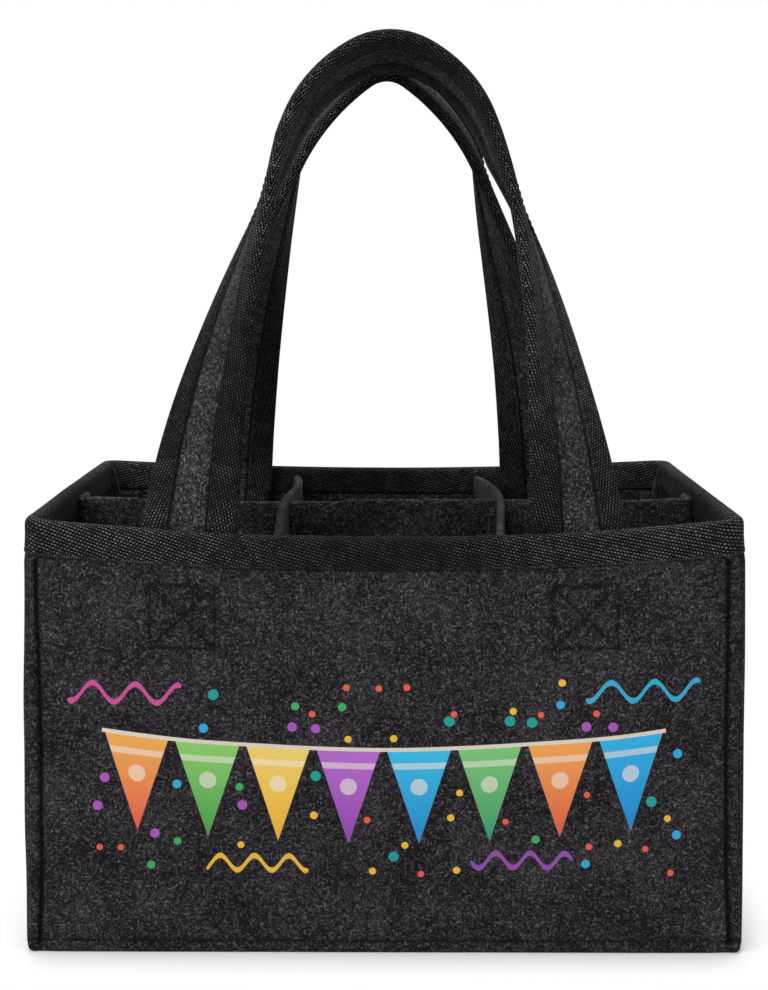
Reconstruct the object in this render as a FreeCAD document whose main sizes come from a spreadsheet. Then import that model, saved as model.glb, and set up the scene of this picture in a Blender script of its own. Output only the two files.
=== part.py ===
import FreeCAD, Part
import math
import os
import Sketcher
from FreeCAD import Placement, Rotation, Vector

doc = FreeCAD.newDocument("bottle_carrier")
sheet = doc.addObject("Spreadsheet::Sheet", "Sizes")


class Size:
    # A length with both its number and the sheet expression that gives it.
    def __init__(self, text, value):
        self.text = text
        self.value = value

    def __add__(self, other):
        return combine(self, "+", other)

    def __sub__(self, other):
        return combine(self, "-", other)

    def __mul__(self, other):
        return combine(self, "*", other)

    def __truediv__(self, other):
        return combine(self, "/", other)

    def __neg__(self):
        return Size(f"(-{self.text})", -self.value)


def combine(left, sign, right):
    if not isinstance(right, Size):
        right = Size(str(right), float(right))
    results = {
        "+": lambda a, b: a + b,
        "-": lambda a, b: a - b,
        "*": lambda a, b: a * b,
        "/": lambda a, b: a / b,
    }
    return Size(f"({left.text} {sign} {right.text})", results[sign](left.value, right.value))


def cell(name, number, note):
    row = cell.rows = cell.rows + 1
    sheet.set(f"A{row}", name)
    sheet.set(f"B{row}", str(number))
    sheet.setAlias(f"B{row}", name)
    sheet.set(f"C{row}", note)
    return Size(f"Sizes.{name}", float(number))


cell.rows = 0
zero = Size("0", 0.0)

body_width = cell("body_width", 250, "over the side panels")
body_depth = cell("body_depth", 166, "over the front and back panels")
rim_height = cell("rim_height", 150, "table to the top of the rim tape")
felt = cell("felt_thickness", 3, "felt sheet of every panel")
tape = cell("tape_thickness", 0.8, "woven binding tape")
tape_fit = cell("tape_fit", 0.1, "air between tape and felt")
rim_tape_height = cell("rim_tape_height", 12.5, "folded height of the rim tape")
rim_corner = cell("rim_corner_radius", 6, "rim tape middle line at the four corners")
seam_flange = cell("seam_flange", 14, "side panels turned in behind front and back")
base_flange = cell("base_flange", 12, "base edges turned up inside the panels")
bend = cell("bend_radius", 1.5, "inside of every turned edge")
seam_inset = cell("seam_inset", 6, "corner stitch line from the panel edge")
seam_height = cell("seam_height", 4.5, "bottom stitch line above the table")
groove_width = cell("groove_width", 1.4, "dent pulled in by a stitch line")
groove_depth = cell("groove_depth", 0.7, "dent pulled in by a stitch line")
edge_round = cell("edge_round", 1.2, "outer panel edges")
divider_drop = cell("divider_drop", 4, "divider tops below the rim")
divider_tab = cell("divider_tab", 14, "long divider ends turned along the sides")
slot_gap = cell("slot_gap", 0.2, "each side of a divider in its slot")
clear = cell("clear_gap", 0.3, "between pieces that pass one another")
strap_width = cell("strap_width", 32, "handle strap over both edge tapes")
strap_tape = cell("strap_tape_width", 9.5, "edge tape on each face of the strap")
leg_offset = cell("leg_offset", 10, "cross divider to the near edge of a strap")
end_length = cell("end_length", 42, "sewn strap end below the fold")
fold_gap = cell("fold_gap", 0.3, "strap face to the rim tape")
foot_height = cell("foot_height", 3.6, "free strap starts above the fold line")
handle_rise = cell("handle_rise", 185, "fold line to the middle of the crown")
crown_radius = cell("crown_radius", 26, "top of the handle loop")
crown_angle = cell("crown_angle", 36, "half angle of the crown arc")
shoulder_radius = cell("shoulder_radius", 70.5, "handle loop beside the crown")
shoulder_slope = cell("shoulder_slope", 18.2, "legs off the upright below the shoulder")
twist_rest = cell("twist_rest", 6.5, "untwisted strap between quarter turn and shoulder")
handle_gap = cell("handle_gap", 0.6, "between the two handles where they meet")
doc.recompute()

felt_top = rim_height - tape - tape_fit
fold_height = felt_top - felt / 2
rim_reach = felt / 2 + tape_fit + tape
rim_bottom = rim_height - rim_tape_height
trim_height = rim_bottom - clear
half_width = body_width / 2
half_depth = body_depth / 2
rim_line_x = half_width - felt / 2
rim_line_y = half_depth - felt / 2
inner_x = half_width - felt - tape_fit
inner_y = half_depth - felt - tape_fit
divider_top = rim_height - divider_drop
divider_foot = felt + tape_fit
divider_middle = (divider_foot + divider_top) / 2
flange_top = base_flange + clear
cross_x = (body_width - felt * 4) / 6 + felt / 2
strap_half = felt / 2 + tape_fit + tape
strap_offset = rim_reach + fold_gap + strap_half
leg_x = cross_x + felt / 2 + leg_offset + strap_width / 2


def add_body(name):
    return doc.addObject("PartDesign::Body", name)


def start_sketch(body, name, role, lift):
    sketch = body.newObject("Sketcher::SketchObject", name)
    plane = next(item for item in body.Origin.OriginFeatures if item.Role == role)
    sketch.AttachmentSupport = [(plane, "")]
    sketch.MapMode = "FlatFace"
    sketch.setExpression("AttachmentOffset.Base.z", lift.text)
    return sketch


def pin(sketch, edge, end, point):
    for kind, size in (("DistanceX", point[0]), ("DistanceY", point[1])):
        number = sketch.addConstraint(Sketcher.Constraint(kind, -1, 1, edge, end, size.value))
        if size is not zero:
            sketch.setExpression(f"Constraints[{number}]", size.text)


def add_loop(sketch, points):
    first = sketch.GeometryCount
    count = len(points)
    spots = [Vector(x.value, y.value, 0) for x, y in points]
    for index in range(count):
        sketch.addGeometry(Part.LineSegment(spots[index], spots[(index + 1) % count]))
    for index in range(count):
        follow = first + (index + 1) % count
        sketch.addConstraint(Sketcher.Constraint("Coincident", first + index, 2, follow, 1))
    for index, point in enumerate(points):
        pin(sketch, first + index, 1, point)


def box_loop(low_x, low_y, high_x, high_y):
    return [(low_x, low_y), (high_x, low_y), (high_x, high_y), (low_x, high_y)]


def draw(body, name, role, loops, lift=zero):
    sketch = start_sketch(body, name, role, lift)
    for points in loops:
        add_loop(sketch, points)
    return sketch


def extrude(body, kind, name, sketch, length, flip=False):
    before = body.Shape.Volume if body.Tip else 0.0
    feature = body.newObject(f"PartDesign::{kind}", name)
    feature.Profile = sketch
    feature.setExpression("Length", length.text)
    feature.Reversed = flip
    doc.recompute()
    change = body.Shape.Volume - before
    if (change > 0) != (kind == "Pad"):
        raise RuntimeError(f"{body.Name} {name} changed the volume by {change:.2f}")
    return feature


def soften(body, name, radius, wanted):
    # Rounds every edge whose two ends satisfy the given test.
    edges = []
    for number, edge in enumerate(body.Shape.Edges, 1):
        ends = [body.Placement.inverse().multVec(vertex.Point) for vertex in edge.Vertexes]
        if len(ends) == 2 and wanted(ends[0], ends[1]):
            edges.append(f"Edge{number}")
    shaped = body.Tip
    feature = body.newObject("PartDesign::Fillet", name)
    feature.Base = (shaped, edges)
    feature.setExpression("Radius", radius.text)
    doc.recompute()
    return feature


def mirror(source, name, normal):
    copy = doc.addObject("Part::Mirroring", name)
    copy.Source = source
    copy.Normal = normal
    doc.recompute()
    return copy


def near(value, size):
    return abs(value - size.value) < 0.001


across = Vector(1, 0, 0)
along = Vector(0, 1, 0)

# Front and back panels: flat felt with notched top corners under the rounded rim tape.
trim_x = rim_line_x - rim_corner
front = add_body("front_panel")
outline = draw(front, "front_outline", "XZ_Plane", [[
    (-half_width, zero), (half_width, zero), (half_width, trim_height), (trim_x, trim_height),
    (trim_x, felt_top), (-trim_x, felt_top), (-trim_x, trim_height), (-half_width, trim_height),
]])
extrude(front, "Pad", "front_sheet", outline, felt)
seam_x = half_width - seam_inset
groove_x = seam_x - groove_width
groove_z = seam_height + groove_width
groove = draw(front, "seam_line", "XZ_Plane", [[
    (-seam_x, seam_height), (seam_x, seam_height), (seam_x, trim_height), (groove_x, trim_height),
    (groove_x, groove_z), (-groove_x, groove_z), (-groove_x, trim_height), (-seam_x, trim_height),
]], felt)
extrude(front, "Pocket", "seam_groove", groove, groove_depth)
soften(front, "outer_round", edge_round, lambda a, b: near(a.y, -felt) and near(b.y, -felt) and (
    near(abs(a.x), half_width) and near(abs(b.x), half_width)
    and (near(a.z, zero) or near(b.z, zero))))
soften(front, "rim_round", felt * 0.48, lambda a, b: near(a.z, felt_top) and near(b.z, felt_top)
       and abs(a.x - b.x) > felt.value)
front.setExpression("Placement.Base.y", (felt - half_depth).text)
back = mirror(front, "back_panel", along)

# Side panels: a web with both edges turned in behind the front and back panels.
left = add_body("left_side_panel")
web_x = felt - half_width
turn_x = seam_flange - half_width
butt_y = half_depth - felt - tape_fit
fold_y = butt_y - felt
outline = draw(left, "side_outline", "XY_Plane", [[
    (-half_width, -butt_y), (turn_x, -butt_y), (turn_x, -fold_y), (web_x, -fold_y),
    (web_x, fold_y), (turn_x, fold_y), (turn_x, butt_y), (-half_width, butt_y),
]])
extrude(left, "Pad", "side_sheet", outline, felt_top)
soften(left, "inner_bend", bend, lambda a, b: near(a.x, web_x) and near(b.x, web_x)
       and near(abs(a.y), fold_y) and a.y * b.y > 0 and abs(a.z - b.z) > 1)
soften(left, "outer_bend", bend + felt, lambda a, b: near(a.x, -half_width) and near(b.x, -half_width)
       and near(abs(a.y), butt_y) and a.y * b.y > 0 and abs(a.z - b.z) > 1)
trim_y = rim_line_y - rim_corner
past_x = turn_x + clear
cut = draw(left, "rim_trim", "XY_Plane", [
    box_loop(-body_width, trim_y, past_x, body_depth),
    box_loop(-body_width, -body_depth, past_x, -trim_y),
], felt_top)
extrude(left, "Pocket", "rim_clearance", cut, felt_top - trim_height)
cut = draw(left, "base_trim", "XY_Plane", [
    box_loop(web_x, -body_depth, past_x, body_depth),
])
extrude(left, "Pocket", "base_clearance", cut, felt + tape_fit, True)
soften(left, "rim_round", felt * 0.48, lambda a, b: near(a.z, felt_top) and near(b.z, felt_top)
       and abs(a.y - b.y) > felt.value)
right = mirror(left, "right_side_panel", across)

# Base: a sheet with its four edges turned up inside the panels.
base = add_body("base_panel")
run_x = half_width - seam_flange - clear
run_y = fold_y - bend - clear
lip_x = inner_x - felt
lip_y = inner_y - felt
outline = draw(base, "base_outline", "XY_Plane", [box_loop(-inner_x, -inner_y, inner_x, inner_y)])
extrude(base, "Pad", "base_sheet", outline, felt)
edges = draw(base, "turned_edges", "XY_Plane", [
    box_loop(-run_x, -inner_y, run_x, -lip_y),
    box_loop(-run_x, lip_y, run_x, inner_y),
    box_loop(-inner_x, -run_y, -lip_x, run_y),
    box_loop(lip_x, -run_y, inner_x, run_y),
])
extrude(base, "Pad", "base_edges", edges, base_flange)
soften(base, "inner_bend", bend, lambda a, b: near(a.z, felt) and near(b.z, felt) and (
    (near(abs(a.y), lip_y) and near(b.y - a.y, zero) and abs(a.x - b.x) > seam_flange.value)
    or (near(abs(a.x), lip_x) and near(b.x - a.x, zero) and abs(a.y - b.y) > seam_flange.value)))

# Long divider: one sheet from side to side with turned ends and two slots open at the top.
long_divider = add_body("long_divider")
tab_x = inner_x - felt
half_felt = felt / 2
outline = draw(long_divider, "divider_outline", "XY_Plane", [[
    (-inner_x, -half_felt), (inner_x, -half_felt), (inner_x, divider_tab), (tab_x, divider_tab),
    (tab_x, half_felt), (-tab_x, half_felt), (-tab_x, divider_tab), (-inner_x, divider_tab),
]], divider_foot)
extrude(long_divider, "Pad", "divider_sheet", outline, divider_top - divider_foot)
web_end = tab_x - bend - clear
cut = draw(long_divider, "base_trim", "XY_Plane", [
    box_loop(-body_width, -body_depth, -web_end, body_depth),
    box_loop(web_end, -body_depth, body_width, body_depth),
], divider_foot)
extrude(long_divider, "Pocket", "base_clearance", cut, flange_top - divider_foot, True)
cut = draw(long_divider, "rim_trim", "XY_Plane", [
    box_loop(-body_width, -body_depth, -web_end, body_depth),
    box_loop(web_end, -body_depth, body_width, body_depth),
], divider_top)
extrude(long_divider, "Pocket", "rim_clearance", cut, divider_top - trim_height)
slot_half = felt / 2 + slot_gap
cut = draw(long_divider, "slot_outline", "XY_Plane", [
    box_loop(-cross_x - slot_half, -felt, slot_half - cross_x, felt),
    box_loop(cross_x - slot_half, -felt, cross_x + slot_half, felt),
], divider_top)
extrude(long_divider, "Pocket", "cross_slots", cut, divider_top - divider_middle)

# Cross dividers: slotted from below, cut away over the turned base edges.
left_cross = add_body("left_cross_divider")
low_y = lip_y - bend - clear
high_y = half_depth - felt - tape_fit - tape - clear
slot_top = divider_middle + clear
outline = draw(left_cross, "cross_outline", "YZ_Plane", [[
    (-low_y, divider_foot), (-slot_half, divider_foot), (-slot_half, slot_top),
    (slot_half, slot_top), (slot_half, divider_foot), (low_y, divider_foot),
    (low_y, flange_top), (high_y, flange_top), (high_y, divider_top),
    (-high_y, divider_top), (-high_y, flange_top), (-low_y, flange_top),
]])
extrude(left_cross, "Pad", "cross_sheet", outline, felt)
left_cross.setExpression("Placement.Base.x", (-cross_x - felt / 2).text)
right_cross = mirror(left_cross, "right_cross_divider", across)

# Rim tape: a folded section carried round the rim, half round on top.
rim = add_body("rim_binding")
path = start_sketch(rim, "rim_line", "XY_Plane", fold_height)
start_y = rim_line_y - rim_corner
corners = [
    ((trim_x, -rim_line_y), (rim_line_x, -start_y), (trim_x, -start_y), -90),
    ((rim_line_x, start_y), (trim_x, rim_line_y), (trim_x, start_y), 0),
    ((-trim_x, rim_line_y), (-rim_line_x, start_y), (-trim_x, start_y), 90),
    ((-rim_line_x, -start_y), (-trim_x, -rim_line_y), (-trim_x, -start_y), 180),
]
for index, (begin, finish, middle, turn) in enumerate(corners):
    following = corners[(index + 1) % 4][0]
    center = Vector(middle[0].value, middle[1].value, 0)
    circle = Part.Circle(center, Vector(0, 0, 1), rim_corner.value)
    sketch_arc = Part.ArcOfCircle(circle, math.radians(turn), math.radians(turn + 90))
    path.addGeometry(sketch_arc)
    path.addGeometry(Part.LineSegment(
        Vector(finish[0].value, finish[1].value, 0),
        Vector(following[0].value, following[1].value, 0)))
for index, (begin, finish, middle, turn) in enumerate(corners):
    arc = index * 2
    path.addConstraint(Sketcher.Constraint("Coincident", arc, 2, arc + 1, 1))
    path.addConstraint(Sketcher.Constraint("Coincident", arc + 1, 2, (arc + 2) % 8, 1))
    pin(path, arc, 1, begin)
    pin(path, arc, 2, finish)
    number = path.addConstraint(Sketcher.Constraint("DistanceX", -1, 1, arc, 3, middle[0].value))
    path.setExpression(f"Constraints[{number}]", middle[0].text)
section = start_sketch(rim, "tape_section", "YZ_Plane", trim_x)
hollow = felt / 2 + tape_fit
corner_cut = hollow * 0.414
fold_circle = Part.Circle(Vector(-rim_line_y.value, fold_height.value, 0), Vector(0, 0, 1),
                          rim_reach.value)
section.addGeometry(Part.ArcOfCircle(fold_circle, 0, math.pi))
folded = [
    (rim_reach - rim_line_y, fold_height), (rim_reach - rim_line_y, rim_bottom),
    (hollow - rim_line_y, rim_bottom), (hollow - rim_line_y, fold_height + corner_cut),
    (corner_cut - rim_line_y, fold_height + hollow),
    (-rim_line_y - corner_cut, fold_height + hollow),
    (-rim_line_y - hollow, fold_height + corner_cut), (-rim_line_y - hollow, rim_bottom),
    (-rim_line_y - rim_reach, rim_bottom), (-rim_line_y - rim_reach, fold_height),
]
for first, second in zip(folded, folded[1:]):
    section.addGeometry(Part.LineSegment(
        Vector(first[0].value, first[1].value, 0), Vector(second[0].value, second[1].value, 0)))
last = len(folded) - 1
section.addConstraint(Sketcher.Constraint("Coincident", 0, 1, 1, 1))
section.addConstraint(Sketcher.Constraint("Coincident", 0, 2, last, 2))
for edge in range(1, last):
    section.addConstraint(Sketcher.Constraint("Coincident", edge, 2, edge + 1, 1))
for edge, point in enumerate(folded[:-1], 1):
    pin(section, edge, 1, point)
pin(section, last, 2, folded[-1])
number = section.addConstraint(Sketcher.Constraint("DistanceY", -1, 1, 0, 3, fold_height.value))
section.setExpression(f"Constraints[{number}]", fold_height.text)
doc.recompute()
binding = rim.newObject("PartDesign::AdditivePipe", "rim_fold")
binding.Profile = section
binding.Spine = path
doc.recompute()

# Handles: the loop is worked out upright about its fold line, then leaned in to meet its twin.
rise = handle_rise.value
wide = strap_width.value / 2
thick = strap_half.value
offset = strap_offset.value
crown = crown_radius.value
shoulder = shoulder_radius.value
crown_end = math.radians(crown_angle.value)
shoulder_end = math.radians(90 - shoulder_slope.value)
crown_center = Vector(0, 0, rise - crown)


def outward(angle):
    return Vector(math.sin(angle), 0, math.cos(angle))


shoulder_center = crown_center + outward(crown_end) * (crown - shoulder)
leg_top = shoulder_center + outward(shoulder_end) * shoulder
to_foot = Vector(leg_x.value, 0, 0) - leg_top
bow = to_foot.dot(outward(shoulder_end))
leg_radius = -to_foot.dot(to_foot) / (2 * (bow if abs(bow) > 1e-6 else -1e-6))
leg_center = leg_top - outward(shoulder_end) * leg_radius
foot_angle = math.acos((foot_height.value - leg_center.z) / leg_radius)
fold_angle = math.acos((0 - leg_center.z) / leg_radius)
lean_reach = math.hypot(rise + thick, offset + wide)
lean = math.asin((rim_line_y.value - handle_gap.value / 2) / lean_reach)
lean -= math.atan2(offset + wide, rise + thick)


def station(center, radius, angle):
    # One place on the right half of the loop: middle, direction to the inner edge, face normal.
    middle = center + outward(angle) * radius
    turn = math.pi / 2 * min(1.0, middle.z / (leg_top.z - twist_rest.value))
    away = Vector(0, -1, 0)
    edge = away * math.sin(turn) - outward(angle) * math.cos(turn)
    face = away * math.cos(turn) + outward(angle) * math.sin(turn)
    return middle + Vector(0, offset, 0), edge, face


def section_wire(place, outline_points):
    middle, edge, face = place
    spots = [middle + edge * u + face * v for u, v in outline_points]
    return Part.makePolygon(spots + spots[:1])


def bend_strip(outline_points, center, radius, first, last):
    # Carries the strap's section round one arc of the loop, between two angles off the top.
    section_face = Part.Face(section_wire(station(center, radius, first), outline_points))
    return section_face.revolve(center, along, math.degrees(last - first))


def make_strip(outline_points):
    leg_stops = 10
    angles = [foot_angle + (shoulder_end - foot_angle) * index / leg_stops
              for index in range(leg_stops + 1)]
    wires = [section_wire(station(leg_center, leg_radius, angle), outline_points)
             for angle in angles]
    leg = Part.makeLoft(wires, True, False)
    bow = bend_strip(outline_points, shoulder_center, shoulder, crown_end, shoulder_end)
    crown_bend = bend_strip(outline_points, crown_center, crown, -crown_end, crown_end)
    side = [leg, bow, leg.mirror(Vector(), across), bow.mirror(Vector(), across)]
    return crown_bend.fuse(side).removeSplitter()


def tape_outline(side):
    outer = wide * side
    inner = (wide - tape.value) * side
    free = (wide - strap_tape.value) * side
    low = thick - tape.value
    return [(free, thick), (outer, thick), (outer, -thick), (free, -thick),
            (free, -low), (inner, -low), (inner, low), (free, low)]


core_wide = wide - tape.value - tape_fit.value
core_thick = felt.value / 2
strips = {
    "handle_strap": [(core_wide, core_thick), (core_wide, -core_thick),
                     (-core_wide, -core_thick), (-core_wide, core_thick)],
    "handle_inner_tape": tape_outline(1),
    "handle_outer_tape": tape_outline(-1),
}
lean_place = Placement(Vector(0, -rim_line_y.value, fold_height.value),
                       Rotation(across, -math.degrees(lean)))
nodes = [front, back, left, right, base, long_divider, left_cross, right_cross, rim]
for name, points in strips.items():
    strip = doc.addObject("Part::Feature", f"front_{name}")
    strip.Shape = make_strip(points)
    strip.Placement = lean_place
    nodes += [strip, mirror(strip, f"rear_{name}", along)]

# Sewn ends of the straps, straight down behind the front and back panels.
core_x = strap_width / 2 - tape - tape_fit
core_y = felt / 2
edge_x = strap_width / 2
edge_y = strap_half
free_x = strap_width / 2 - strap_tape
inner_tape_x = edge_x - tape
inner_tape_y = edge_y - tape
ends = {
    "strap_end": [(-core_x, -core_y), (core_x, -core_y), (core_x, core_y), (-core_x, core_y)],
    "end_inner_tape": [
        (free_x, -edge_y), (edge_x, -edge_y), (edge_x, edge_y), (free_x, edge_y),
        (free_x, inner_tape_y), (inner_tape_x, inner_tape_y),
        (inner_tape_x, -inner_tape_y), (free_x, -inner_tape_y)],
    "end_outer_tape": [
        (-free_x, -edge_y), (-edge_x, -edge_y), (-edge_x, edge_y), (-free_x, edge_y),
        (-free_x, inner_tape_y), (-inner_tape_x, inner_tape_y),
        (-inner_tape_x, -inner_tape_y), (-free_x, -inner_tape_y)],
}
end_place = Placement(Vector(-leg_x.value, offset - rim_line_y.value, fold_height.value),
                      Rotation(along, 90 - math.degrees(fold_angle)))
for name, points in ends.items():
    strip = add_body(f"front_left_{name}")
    outline = draw(strip, "strap_section", "XY_Plane", [points], -end_length)
    extrude(strip, "Pad", "strap_length", outline, end_length - clear)
    strip.Placement = end_place
    doc.recompute()
    rear = mirror(strip, f"rear_left_{name}", along)
    nodes += [strip, mirror(strip, f"front_right_{name}", across)]
    nodes += [rear, mirror(rear, f"rear_right_{name}", across)]

doc.recompute()
for item in doc.Objects:
    if "Invalid" in item.State or "Error" in item.State:
        raise RuntimeError(f"{item.Name} is {item.State}")
os.makedirs("parts", exist_ok=True)
for node in nodes:
    shape = node.Shape
    if shape.isNull() or not shape.isValid() or len(shape.Solids) != 1:
        raise RuntimeError(f"{node.Label} has no single valid solid")
    shape.exportStep(f"parts/{node.Label}.step")
    box = shape.BoundBox
    print(f"{node.Label} {shape.Volume:.0f} mm3 x {box.XMin:.1f} {box.XMax:.1f}"
          f" y {box.YMin:.1f} {box.YMax:.1f} z {box.ZMin:.1f} {box.ZMax:.1f}")
print(f"lean {math.degrees(lean):.3f} fold line y {rim_line_y.value:.3f} z {fold_height.value:.3f}")
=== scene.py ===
import math

import bmesh
import bpy
from mathutils import Matrix, Vector, noise


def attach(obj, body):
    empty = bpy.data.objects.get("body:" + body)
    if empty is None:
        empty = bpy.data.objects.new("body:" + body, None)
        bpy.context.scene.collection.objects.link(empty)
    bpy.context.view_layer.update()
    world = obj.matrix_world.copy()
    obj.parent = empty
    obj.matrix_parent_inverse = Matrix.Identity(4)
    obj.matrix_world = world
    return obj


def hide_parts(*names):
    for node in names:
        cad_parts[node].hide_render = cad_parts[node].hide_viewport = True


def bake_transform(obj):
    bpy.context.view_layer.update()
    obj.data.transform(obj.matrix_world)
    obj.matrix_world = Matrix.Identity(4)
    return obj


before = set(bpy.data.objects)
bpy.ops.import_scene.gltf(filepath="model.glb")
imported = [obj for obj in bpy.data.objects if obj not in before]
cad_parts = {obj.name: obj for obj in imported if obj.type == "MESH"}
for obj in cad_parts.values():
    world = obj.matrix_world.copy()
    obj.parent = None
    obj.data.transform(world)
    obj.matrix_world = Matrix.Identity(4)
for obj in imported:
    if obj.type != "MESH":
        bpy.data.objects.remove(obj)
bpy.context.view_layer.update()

mm, metre = 0.001, 1000  # a millimetre in metres and a metre in millimetres
white, black = (1, 1, 1, 1), (0, 0, 0, 1)
print("frame loaded:", len(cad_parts), "nodes")


# one socket with operators, so that shader maths reads as sums
class Wire:
    def __init__(self, tree, socket=None):
        self.tree, self.socket = tree, socket

    def node(self, kind, settings=None, sockets=None, out=0):
        made = self.tree.nodes.new(kind)
        for key, value in (settings or {}).items():
            if key == "stops":
                ramp = made.color_ramp
                while len(ramp.elements) < len(value):
                    ramp.elements.new(1.0)
                for element, (place, colour) in zip(ramp.elements, value):
                    element.position, element.color = place, colour
            elif key == "interpolation":
                made.color_ramp.interpolation = value
            else:
                setattr(made, key, value)
        for key, value in (sockets or {}).items():
            if isinstance(value, Wire):
                value.into(made, key)
            else:
                made.inputs[key].default_value = value
        return Wire(self.tree, made.outputs[out])

    def into(self, node, socket):
        self.tree.links.new(self.socket, node.inputs[socket])

    def other(self, output):  # another output of the same node
        return Wire(self.tree, self.socket.node.outputs[output])

    def split(self, kind="ShaderNodeSeparateXYZ"):  # the first two parts of a vector or a colour
        first = self.node(kind, None, {0: self})
        return first, first.other(1)

    def math(self, operation, *others):
        return self.node("ShaderNodeMath", {"operation": operation}, dict(enumerate((self, *others))))

    def __add__(self, other):
        return self.math("ADD", other)

    def __mul__(self, other):
        return self.math("MULTIPLY", other)

    def __sub__(self, other):
        return self.math("SUBTRACT", other)

    def __truediv__(self, other):
        return self.math("DIVIDE", other)

    def __rsub__(self, other):
        return self.node("ShaderNodeMath", {"operation": "SUBTRACT"}, {0: other, 1: self})

    __radd__, __rmul__ = __add__, __mul__

    def clamped(self):
        return self.node("ShaderNodeClamp", None, {"Value": self})

    def step(self, low, high):  # 0 below low, 1 above high, smooth between
        return self.node("ShaderNodeMapRange", {"interpolation_type": "SMOOTHSTEP"},
                         {"Value": self, "From Min": low, "From Max": high})

    def above(self, limit):  # 1 or 0
        return self.math("GREATER_THAN", limit)

    def swing(self, period, turn=0.0):  # a sine wave between 0 and 1
        return (self * (2 * math.pi / period) + turn).math("SINE") * 0.5 + 0.5

    def colours(self, first, second):  # this value mixes two colours
        return self.node("ShaderNodeMix", {"data_type": "RGBA"}, {0: self, 6: first, 7: second}, 2)

    def palette(self, colours):  # this value picks one of them
        stops = [(i / len(colours), (*colour, 1)) for i, colour in enumerate(colours)]
        return self.node("ShaderNodeValToRGB", {"interpolation": "CONSTANT", "stops": stops}, {"Fac": self})


def newMaterial(name, look):
    material = bpy.data.materials.new(name)
    material.use_nodes = True
    shader = material.node_tree.nodes["Principled BSDF"]
    for socket, value in look["sockets"].items():
        shader.inputs[socket].default_value = value
    return material, Wire(material.node_tree), shader


def finishCloth(start, shader, look, colour, height):
    colour.into(shader, "Base Color")
    relief = {"Strength": look["bump"], "Distance": look["bumpDeep"], "Height": height}
    start.node("ShaderNodeBump", None, relief).into(shader, "Normal")


def placed(name, data):
    thing = bpy.data.objects.new(name, data)
    bpy.context.scene.collection.objects.link(thing)
    return thing


def clothPlace(start):  # along and across the cut cloth, in millimetres
    along, across = start.node("ShaderNodeUVMap", {"uv_map": "cloth"}).split()
    return along * metre, across * metre


def noiseAt(along, across, scale, detail):
    place = along.node("ShaderNodeCombineXYZ", None, {0: along, 1: across})
    return along.node("ShaderNodeTexNoise", {"noise_dimensions": "2D"},
                      {"Vector": place, "Scale": scale, "Detail": detail})


feltLook = {
    "dark": (0.0076, 0.0068, 0.0078, 1), "light": (0.190, 0.177, 0.191, 1),
    # painted shade: the near-black colour that seams, sewn grooves and tape borders are darkened towards
    "crease": (0.0030, 0.0027, 0.0030, 1),
    "turns": (9, 47, 83, 124, 161), "fibreLong": 2.3, "fibreWide": 0.62, "fibreStep": (0.60, 1.02),
    # scale and detail of each noise
    "strand": (1.0, 0.5), "grain": (1.25, 0.5), "patch": (0.30, 2.0), "cloud": (0.045, 2.0),
    "grainStep": (0.3, 0.75), "fibreTone": {"base": 0.35, "grain": 0.75, "patch": 0.9, "cloud": 0.5},
    "tone": {"base": -0.056, "fibres": 0.84, "grain": 0.18, "patch": 0.135, "cloud": 0.13},
    "fibreHigh": 0.7, "grainHigh": 0.6, "bump": 0.25, "bumpDeep": 0.0004,
    "sockets": {"Roughness": 0.95, "Specular IOR Level": 0.04, "Sheen Weight": 0.02, "Sheen Roughness": 0.6},
}


def feltShading(start, along, across, gain):
    look, own, tone = feltLook, feltLook["fibreTone"], feltLook["tone"]
    fibres = None
    for turn in look["turns"]:  # fibres lie in several directions
        c, s = math.cos(math.radians(turn)), math.sin(math.radians(turn))
        lengthwise = (along * c + across * s) / look["fibreLong"] + turn
        sideways = (across * c - along * s) / look["fibreWide"]
        strand = noiseAt(lengthwise, sideways, *look["strand"])
        fibres = strand if fibres is None else fibres.math("MAXIMUM", strand)
    lift = fibres.step(*look["fibreStep"])
    grain = noiseAt(along, across, *look["grain"])
    patch = noiseAt(along, across, *look["patch"]) - 0.5
    cloud = noiseAt(along, across, *look["cloud"]) - 0.5
    shade = own["base"] + grain.step(*look["grainStep"]) * own["grain"]
    shade = shade + patch * own["patch"] + cloud * own["cloud"]
    light = lift * tone["fibres"] * shade + grain * tone["grain"] + tone["base"]
    light = light + patch * tone["patch"] + cloud * tone["cloud"]
    colour = (light * gain).clamped().colours(look["dark"], look["light"])
    # painted shade: the felt darkens towards that colour in creases, seams and sewn grooves, where shade
    # falls
    crease = start.node("ShaderNodeAttribute", {"attribute_name": "crease"}, None, 2)
    colour = crease.clamped().colours(colour, look["crease"])
    return colour, lift * look["fibreHigh"] + grain * look["grainHigh"]


def finishFelt(name, ink=None, gain=1.0):
    material, start, shader = newMaterial(name, feltLook)
    along, across = clothPlace(start)
    colour, height = feltShading(start, along, across, gain)
    if ink is not None:
        colour = ink(start, along, across, colour, height)
    finishCloth(start, shader, feltLook, colour, height)
    return material


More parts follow.
